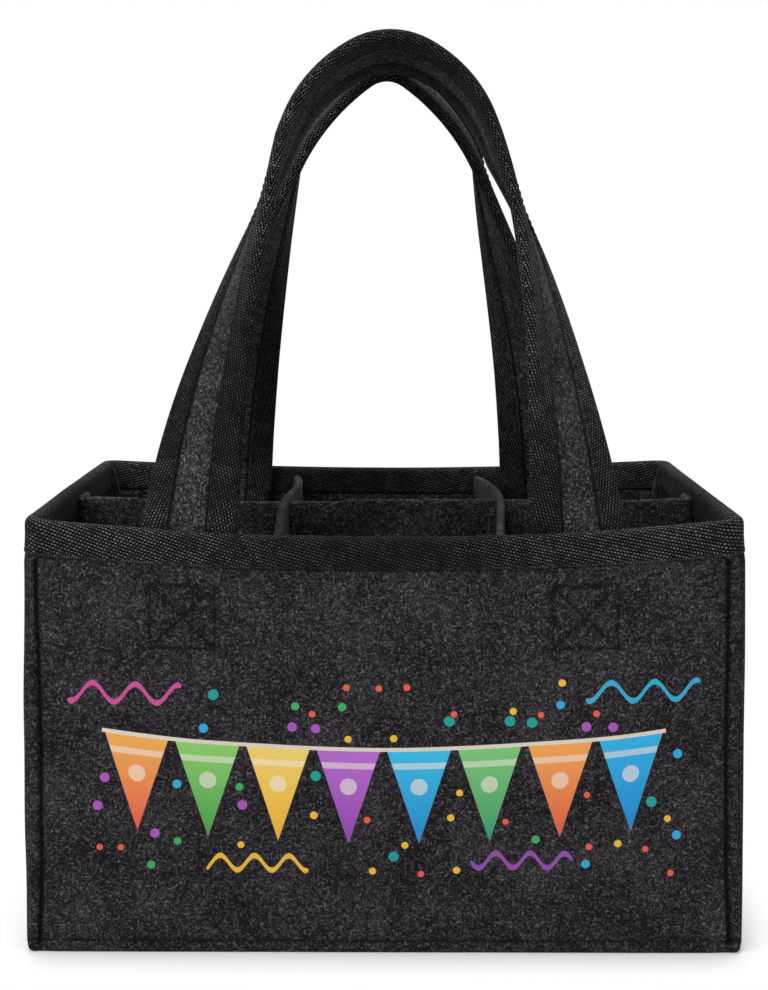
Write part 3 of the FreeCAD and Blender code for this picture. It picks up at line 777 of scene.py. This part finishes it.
def rimLine():
    x, y, r, parts = (rimTape[k] for k in ("lineX", "lineY", "corner", "cornerParts"))
    line = []
    for cx, cy, first in ((x - r, r - y, -90), (x - r, y - r, 0), (r - x, y - r, 90), (r - x, r - y, 180)):
        for k in range(parts + 1):
            a = math.radians(first + 90 * k / parts)
            out = Vector((math.cos(a), math.sin(a), 0))
            line.append((Vector((cx, cy, 0)) + out * r, out))
    full = []
    for k, (spot, out) in enumerate(line):
        nextSpot, nextOut = line[(k + 1) % len(line)]
        parts = max(1, round((nextSpot - spot).length / rimTape["gap"]))
        for i in range(parts):
            full.append((spot.lerp(nextSpot, i / parts), out.lerp(nextOut, i / parts).normalized()))
    first = min(range(len(full)), key=lambda k: (full[k][0] - Vector((rimTape["lapX"], y, 0))).length)
    return full[first:] + full[:first]  # the ends meet under the lap


def rimSection(extra=0.0):
    low, top, half, turn = rimTape["bottom"], rimTape["crest"], rimTape["half"] + extra, rimTape["crownTurn"]
    right = [(half + w, low + t) for w, t in rimTape["profile"]] + [(half, top - rimTape["crownDrop"])]
    angles = [math.radians(a) for a in range(turn, 180, turn)]
    crown = [(half * math.cos(a), top + half * math.sin(a)) for a in angles]
    return right + crown + [(-w, t) for w, t in reversed(right)]


def makeRim():
    line = [(spot, out, Vector((0, 0, 1))) for spot, out in rimLine()]
    lap = [station for station in line if station[0].y > rimTape["lineY"] - 0.1
           and abs(station[0].x - rimTape["lapX"]) < rimTape["lap"] / 2]
    lap.sort(key=lambda station: -station[0].x)
    main = tapeRun("rimTape", line, rimSection(), rimPlace, looped=True)
    return joined(main, [tapeRun("rimLap", lap, rimSection(rimTape["lapThick"]), rimPlace)])


rim = makeRim()
print("rim tape ready")

handle = {
    "hingeY": 81.5, "hingeZ": 147.6, "offset": 5.1, "lean": 19.08, "leanLow": 5, "leanSpan": 18,
    "tail": 42.0, "tailEnd": (0.0, 0.2, 0.6, 1.2), "tailGap": 2.2, "tailParts": 14, "closeParts": 9,
    "bendLong": 16.0, "bendParts": 16, "bowPower": 2.2, "gap": 2.6,
    "wide": 32.0, "half": 2.4, "tapeWide": {-1: 8.3, 1: 9.4}, "gapAcross": 2.0,
    # section of the edge tape, from its border and from the strap's edge
    "byBorder": [(0.0, -1.2), (-0.05, -0.35), (0.35, 0.0), (2.2, 0.05), (5.5, 0.0)],
    "byEdge": [(-0.7, -0.05), (0.25, -0.55), (0.75, -1.4)], "tip": 0.9,
    "swell": 0.35, "swellSpan": 10, "creaseShadeIn": 0.45, "creaseShadeWide": 0.62,
    "borderLines": (-0.1, 0.2, 0.5, 0.8, 1.2), "rowIn": 1.1, "rowProud": 0.06,
}
# the rear loop stands a little lower and narrower than the front one
frontLoop = {
    "legX": 68.4, "rise": 185.5, "crownRadius": 26.3, "crownAngle": 31.0, "shoulderRadius": 54.6,
    "shoulderEnd": 70.8, "twistRest": 6.9, "twistPower": (0.83, 0.69), "bowOut": (-0.3, 1.7), "sway": 2.1,
}
rearLoop = {
    "legX": 67.2, "rise": 183.1, "crownRadius": 12.4, "crownAngle": 36.5, "shoulderRadius": 92.4,
    "shoulderEnd": 69.9, "twistRest": -5.9, "twistPower": (1.1, 0.97), "bowOut": (-0.75, -2.45), "sway": 0.75,
}


def outward(degrees):
    a = math.radians(degrees)
    return Vector((math.sin(a), 0, math.cos(a)))


def handlePath(h):  # one half, from the sewn tail to the crown, as (middle, angle) in the handle's own plane
    crown = Vector((0, 0, h["rise"] - h["crownRadius"]))
    shoulder = crown + outward(h["crownAngle"]) * (h["crownRadius"] - h["shoulderRadius"])
    legTop = shoulder + outward(h["shoulderEnd"]) * h["shoulderRadius"]
    foot = Vector((h["legX"], 0, 0))
    toFoot = foot - legTop
    radius = -toFoot.length_squared / (2 * toFoot.dot(outward(h["shoulderEnd"])))
    legMiddle = legTop - outward(h["shoulderEnd"]) * radius
    fold = math.degrees(math.acos(-legMiddle.z / radius))
    down = Vector((math.cos(math.radians(fold)), 0, -math.sin(math.radians(fold))))
    spots = [h["tail"] - e for e in h["tailEnd"]]
    spots += [spots[-1] - h["tailGap"] * k for k in range(1, h["tailParts"] + 1)]
    spots += range(h["closeParts"], 0, -1)
    rows = [(foot + down * s, fold) for s in spots]

    def arc(middle, size, first, last, parts=None):
        parts = parts or max(2, round(abs(math.radians(last - first)) * abs(size) / h["gap"]))
        for k in range(parts):
            a = first + (last - first) * k / parts
            rows.append((middle + outward(a) * size, a))
    near = fold - math.degrees(h["bendLong"] / radius)
    arc(legMiddle, radius, fold, near, h["bendParts"])  # close stations where the strap bends over the rim
    arc(legMiddle, radius, near, h["shoulderEnd"])
    arc(shoulder, h["shoulderRadius"], h["shoulderEnd"], h["crownAngle"])
    arc(crown, h["crownRadius"], h["crownAngle"], 0)
    rows.append((Vector((0, 0, h["rise"])), 0.0))
    return rows, legTop.z


def handleHalf(loop, side):  # side is -1 on the left and 1 on the right
    h, which = {**handle, **loop}, (side + 1) // 2
    rows, legTop = handlePath(h)
    half = []
    for middle, angle in rows:
        share = min(1.0, max(0.0, middle.z / (legTop - h["twistRest"])))
        turn = math.pi / 2 * share ** h["twistPower"][which]
        bow = h["bowOut"][which] * math.sin(math.pi * share ** h["bowPower"])
        away, out = Vector((0, -1, 0)), outward(angle)
        toInside = away * math.sin(turn) - out * math.cos(turn)
        face = away * math.cos(turn) + out * math.sin(turn)
        tilt = -math.radians(h["lean"]) * smooth((middle.z + h["leanLow"]) / h["leanSpan"])
        lean = Matrix.Rotation(tilt, 3, "X")
        row = (lean @ (middle + Vector((bow, h["offset"], 0))), lean @ toInside, lean @ face)
        half.append([Vector((side * v.x, v.y, v.z)) for v in row])
    return half


def handleStations(sign, loop):  # sign is -1 for the front handle and 1 for the rear one
    hinge = Vector((0, -handle["hingeY"], handle["hingeZ"]))
    ready = []
    for middle, toInside, face in handleHalf(loop, -1) + handleHalf(loop, 1)[-2::-1]:
        spot = middle + hinge + Vector((loop["sway"] * smooth(middle.z / loop["rise"]), 0, 0))
        if sign > 0:
            spot, toInside, face = (Vector((v.x, -v.y, v.z)) for v in (spot, toInside, face))
        ready.append((spot, toInside, face))
    return ready


def tapeOnEdge(side):  # folded over one edge of the strap
    edge, half = handle["wide"] / 2, handle["half"]
    border = edge - handle["tapeWide"][side]
    upper = [(border + w, half + t) for w, t in handle["byBorder"]]
    upper += [(edge + w, half + t) for w, t in handle["byEdge"]]
    lower = [(w, -t) for w, t in reversed(upper)]
    return [(side * w, t) for w, t in upper + [(edge + handle["tip"], 0.0)] + lower]


def makeHandle(word, sign, loop, shift):
    h, stations = handle, handleStations(sign, loop)
    spans = [0.0]
    for (a, *_), (b, *_) in zip(stations, stations[1:]):
        spans.append(spans[-1] + (b - a).length)
    edge = h["wide"] / 2
    border = {side: edge - wide for side, wide in h["tapeWide"].items()}
    us = [round(s, 6) for s in spans]
    index = {u: k for k, u in enumerate(us)}

    def place(u, v):
        middle, toInside, _ = stations[index[u]]
        return sagged(middle + toInside * v)

    def skin(u, v):
        inside = border[1 if v > 0 else -1] - abs(v)  # from the tape's border, over the felt
        half = halfFelt + h["swell"] * smooth(inside / h["swellSpan"])
        # painted shade: a dark line on the felt just inside each tape's border
        return half, half, hollow(inside - h["creaseShadeIn"], h["creaseShadeWide"])
    lines = [s * (border[s] - e) for s in (-1, 1) for e in h["borderLines"]]
    vs = spread(-edge, edge, h["gapAcross"], lines)
    strap = feltSheet(word + "HandleStrap", us, vs, place, skin, strapFelt, shift)
    turnOutward(strap)
    inner = tapeRun(word + "HandleInnerTape", stations, tapeOnEdge(1), sagged)
    outer = tapeRun(word + "HandleOuterTape", stations, tapeOnEdge(-1), sagged)
    rows = []
    for side in (-1, 1):
        for face in (-1, 1):
            w, t = side * (border[side] + h["rowIn"]), face * (h["half"] + h["rowProud"])
            rows.append([sagged(m + a * w + n * t) for m, a, n in stations[2:-2]])  # short of the cut ends
    return strap, inner, outer, rows, spans[-1]


handles = [("front", -1, *makeHandle("front", -1, frontLoop, shift=(40, 900))),
           ("rear", 1, *makeHandle("rear", 1, rearLoop, shift=(240, 1000)))]
print("handles ready, strap lengths", [round(made[-1], 1) for made in handles])

sewing = {"Pitch": 3.2 * mm, "Length": 2.5 * mm, "Thick": 0.30 * mm, "Thread": thread, "Seed": 7}
tapeSewing = {**sewing, "Pitch": 2.9 * mm, "Length": 2.2 * mm, "Thick": 0.26 * mm}
stitchRows = {
    "lengths": (0.40, 0.52), "bead": {"Segments": 6, "Rings": 5, "Radius": 1.0},
    "gap": 2.0, "proud": 0.02, "seamTop": 137.0, "rimUp": 1.15, "rimIn": 0.1,
}


def stitchTree():
    tree = bpy.data.node_groups.new("stitchRow", "GeometryNodeTree")
    tree.interface.new_socket("Rows", in_out="INPUT", socket_type="NodeSocketGeometry")
    sizes = {}
    for word, kind in (("Pitch", "Float"), ("Length", "Float"), ("Thick", "Float"), ("Thread", "Material"),
                       ("Seed", "Int")):
        made = tree.interface.new_socket(word, in_out="INPUT", socket_type="NodeSocket" + kind)
        sizes[word] = made.identifier
    tree.interface.new_socket("Stitches", in_out="OUTPUT", socket_type="NodeSocketGeometry")
    start = Wire(tree)
    given = start.node("NodeGroupInput")
    line = start.node("GeometryNodeMeshToCurve", None, {"Mesh": given.other("Rows")})
    spots = start.node("GeometryNodeCurveToPoints", {"mode": "LENGTH"},
                       {"Curve": line, "Length": given.other("Pitch")})
    bead = start.node("GeometryNodeMeshUVSphere", None, stitchRows["bead"])
    least, most = stitchRows["lengths"]
    luck = start.node("FunctionNodeRandomValue", {"data_type": "FLOAT"},
                      {2: least, 3: most, "Seed": given.other("Seed")}, 1)
    thick, long = given.other("Thick"), given.other("Length") * luck
    shape = start.node("ShaderNodeCombineXYZ", None, {0: thick, 1: thick, 2: long})
    rows = start.node("GeometryNodeInstanceOnPoints", None,
                      {"Points": spots.other("Points"), "Instance": bead,
                       "Rotation": spots.other("Rotation"), "Scale": shape})
    real = start.node("GeometryNodeRealizeInstances", None, {0: rows})
    soft = start.node("GeometryNodeSetShadeSmooth", None, {0: real})
    done = start.node("GeometryNodeSetMaterial", None, {"Geometry": soft, "Material": given.other("Thread")})
    done.into(tree.nodes.new("NodeGroupOutput"), 0)
    return tree, sizes


stitches, stitchSizes = stitchTree()


def sew(name, rows, look, looped=False):
    points, edges = [], []
    for row in rows:
        first = len(points)
        points += [Vector(p) * mm for p in row]
        edges += [(first + i, first + i + 1) for i in range(len(row) - 1)]
        if looped:
            edges.append((len(points) - 1, first))
    mesh = bpy.data.meshes.new(name + "Rows")
    mesh.from_pydata(points, edges, [])
    mesh.materials.append(thread)
    piece = placed(name, mesh)
    sewn = piece.modifiers.new("sew", "NODES")
    sewn.node_group = stitches
    for word, value in look.items():
        sewn[stitchSizes[word]] = value
    bpy.context.view_layer.update()
    ready = bpy.data.meshes.new_from_object(piece.evaluated_get(bpy.context.evaluated_depsgraph_get()))
    piece.modifiers.clear()
    piece.data = ready
    ready.name = name
    return piece


def wallRow(a, b, sign):
    parts = max(1, round(math.dist(a, b) / stitchRows["gap"]))
    row = []
    for k in range(parts + 1):
        x, z = a[0] + (b[0] - a[0]) * k / parts, a[1] + (b[1] - a[1]) * k / parts
        row.append(wallPoint(x, z, sign, wallSkin(x, z)[0] + stitchRows["proud"]))
    return row


def bagRows():
    seam, low, top = wallPanel["seam"], wallPanel["baseSeam"], stitchRows["seamTop"]
    rows = []
    for sign in (-1, 1):
        for side in (-1, 1):
            rows.append(wallRow((side * seam, low), (side * seam, top), sign))
            for (ax, az), (bx, bz) in boxLines():
                rows.append(wallRow((side * ax, az), (side * bx, bz), sign))
        rows.append(wallRow((-seam, low), (seam, low), sign))
    return rows


def rimRows():
    out, z = rimTape["half"] - stitchRows["rimIn"], rimTape["bottom"] + stitchRows["rimUp"]
    return [[rimPlace(spot + away * side * out + Vector((0, 0, z))) for spot, away in rimLine()]
            for side in (1, -1)]


bagStitches = sew("bagSeamStitches", bagRows(), sewing)
rimStitches = sew("rimTapeStitches", rimRows(), {**tapeSewing, "Thick": 0.27 * mm}, looped=True)
handleStitches = [sew(word + "HandleStitches", rows, tapeSewing) for word, *_, rows, _ in handles]
print("stitches ready")

# bodies, nodes and cloth facts
for piece, node, cut, held in (
        (frontPanel, "front_panel", (0.25, 0.149), "stretched"),
        (backPanel, "back_panel", (0.25, 0.149), "stretched"),
        (leftSide, "left_side_panel", (0.19, 0.149), "stretched"),
        (rightSide, "right_side_panel", (0.19, 0.149), "stretched"),
        (longDivider, "long_divider", (0.266, 0.143), "stretched"),
        (leftDivider, "left_cross_divider", (0.159, 0.143), "stretched"),
        (rightDivider, "right_cross_divider", (0.159, 0.143), "stretched"),
        (base, "base_panel", (0.265, 0.177), "folded")):
    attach(piece, "carrier")
    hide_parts(node)
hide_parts("rim_binding")
for piece in (rim, bagStitches, rimStitches):
    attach(piece, "carrier")

fold = {"low": 145.0, "high": 153.5}
for (word, sign, strap, inner, outer, _, strapLong), sewn in zip(handles, handleStitches):
    y = sign * (handle["hingeY"] - handle["offset"]) * mm
    start, stop = (0, y, fold["low"] * mm), (0, y, fold["high"] * mm)
    for piece, part, end in ((strap, "strap", "strap_end"), (inner, "inner_tape", "end_inner_tape"),
                             (outer, "outer_tape", "end_outer_tape"), (sewn, None, None)):
        word + "_handle"
        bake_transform(piece)
        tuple(start)
        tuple(stop)
        if part:
            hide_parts(word + "_handle_" + part, word + "_left_" + end, word + "_right_" + end)
    strapLong * mm

studio = {
    "floor": (0.90, 0.90, 0.90, 1), "floorBounce": (0.50, 0.50, 0.50, 1), "floorGlow": 0.06, "floorHalf": 6,
    "sockets": {"Roughness": 0.9, "Specular IOR Level": 0.1},
    "foot": (0.118, 0.076), "fade": (0.005, 0.028), "ambient": 0.40, "aim": (0, 0, 0.12),
    "lamps": [("keyLamp", (-1.0, -1.2, 1.2), 1.4, 23.0), ("fillLamp", (1.3, -1.5, 0.9), 1.5, 9.5),
              ("topLamp", (0.0, 0.5, 1.9), 1.4, 32.0)],
}


def seenRay(start):  # rays that show the background
    rays = start.node("ShaderNodeLightPath")
    seen = rays.other("Is Camera Ray").math("MAXIMUM", rays.other("Is Glossy Ray"))
    return seen.math("MAXIMUM", rays.other("Is Transmission Ray"))


def makeFloor():
    mesh, h = bpy.data.meshes.new("floor"), studio["floorHalf"]
    mesh.from_pydata([(-h, -h, 0), (h, -h, 0), (h, h, 0), (-h, h, 0)], [], [(0, 1, 2, 3)])
    floor = placed("floor", mesh)
    material, start, shader = newMaterial("paleFloor", studio)
    seen = seenRay(start)
    seen.colours(studio["floorBounce"], studio["floor"]).into(shader, "Base Color")
    glow = start.node("ShaderNodeEmission", None, {"Color": white, "Strength": studio["floorGlow"]})
    clear = start.node("ShaderNodeBsdfTransparent", None, {"Color": black})
    lit = start.node("ShaderNodeMixShader", None, {0: seen, 1: clear, 2: glow})
    both = start.node("ShaderNodeAddShader", None, {0: Wire(start.tree, shader.outputs[0]), 1: lit})
    place = start.node("ShaderNodeTexCoord").other("Object")
    x, y = ((part.math("ABSOLUTE") - foot).math("MAXIMUM", 0.0)
            for part, foot in zip(place.split(), studio["foot"]))
    away = (x * x + y * y).math("SQRT")
    bright = start.node("ShaderNodeEmission", None, {"Color": white, "Strength": 1.0})
    faded = away.step(*studio["fade"]) * seen
    whole = start.node("ShaderNodeMixShader", None, {0: faded, 1: both, 2: bright})
    whole.into(start.tree.nodes["Material Output"], "Surface")
    mesh.materials.append(material)


def makeLight():
    world = bpy.data.worlds.new("studioWorld")
    bpy.context.scene.world = world
    world.use_nodes = True
    back = world.node_tree.nodes["Background"]
    back.inputs["Color"].default_value = white
    shown = seenRay(Wire(world.node_tree))
    (shown * (1 - studio["ambient"]) + studio["ambient"]).into(back, "Strength")
    for name, place, size, power in studio["lamps"]:
        lamp = bpy.data.lights.new(name, "AREA")
        lamp.energy, lamp.size = power, size
        stand = placed(name, lamp)
        stand.location = place
        stand.rotation_euler = (Vector(studio["aim"]) - Vector(place)).to_track_quat("-Z", "Y").to_euler()


view = {"place": (3.53, -657.1, 256.1), "tilt": 0.0618, "turn": 0.006, "lens": 60.85, "sensor": 36.0,
        "shift": -0.1692, "clip": (0.02, 60.0)}


def makeCamera():
    lens = bpy.data.cameras.new("photoCamera")
    lens.lens, lens.sensor_width, lens.shift_y = view["lens"], view["sensor"], view["shift"]
    lens.clip_start, lens.clip_end = view["clip"]
    camera = placed("photoCamera", lens)
    camera.location = Vector(view["place"]) * mm
    camera.rotation_euler = (math.pi / 2 - view["tilt"], 0, view["turn"])
    bpy.context.scene.camera = camera


makeFloor()
makeLight()
makeCamera()
bpy.context.scene.view_settings.view_transform = "Standard"
print("scene ready")
